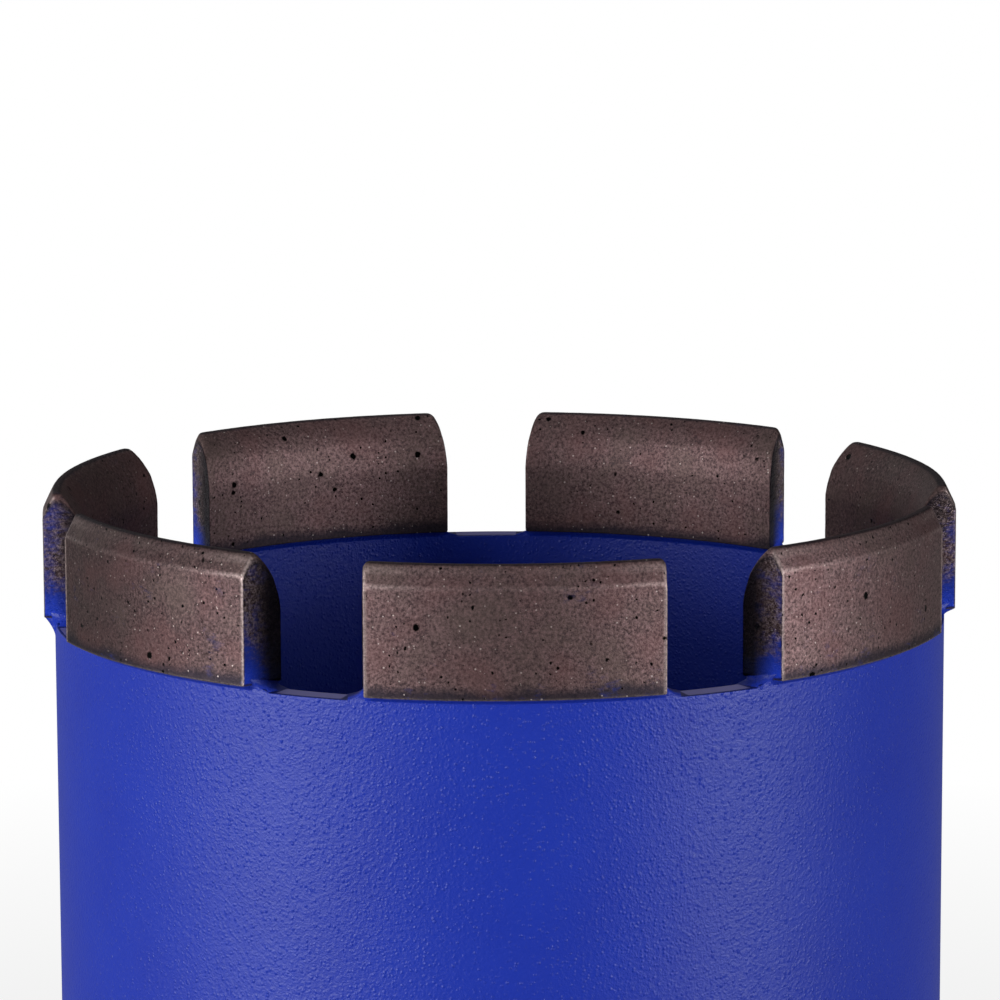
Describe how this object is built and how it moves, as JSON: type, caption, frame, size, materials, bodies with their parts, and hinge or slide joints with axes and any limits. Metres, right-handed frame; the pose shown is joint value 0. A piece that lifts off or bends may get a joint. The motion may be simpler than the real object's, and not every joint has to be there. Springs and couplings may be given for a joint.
{
  "type": "diamond core bit",
  "caption": "Thin-walled coated steel core barrel with roof-topped diamond segments brazed round its rim, an end plate and a threaded hexagon hub.",
  "frame": {"origin": "centre of the hub's spindle face, which the bit stands on", "axes": "+Z along the bit's axis, from the spindle face to the segments; segment_1 is centred on -Y"},
  "size_m": [0.082, 0.0816, 0.188],
  "materials": {
    "coated_steel": "satin powder coat, ultramarine blue",
    "sintered_segment": "rough sintered bronze with diamond grit",
    "coated_braze": "silver solder under the blue powder coat",
    "turned_steel": "turned, bare"
  },
  "bodies": {
    "root": {"barrel": "coated_steel", "segment_1": "sintered_segment", "segment_2": "sintered_segment", "segment_3": "sintered_segment", "segment_4": "sintered_segment", "segment_5": "sintered_segment", "segment_6": "sintered_segment", "segment_7": "sintered_segment", "braze_1": "coated_braze", "braze_2": "coated_braze", "braze_3": "coated_braze", "braze_4": "coated_braze", "braze_5": "coated_braze", "braze_6": "coated_braze", "braze_7": "coated_braze", "end_plate": "coated_steel", "barrel_weld": "coated_steel", "hub": "turned_steel", "hub_weld": "coated_steel"}
  },
  "joints": []
}
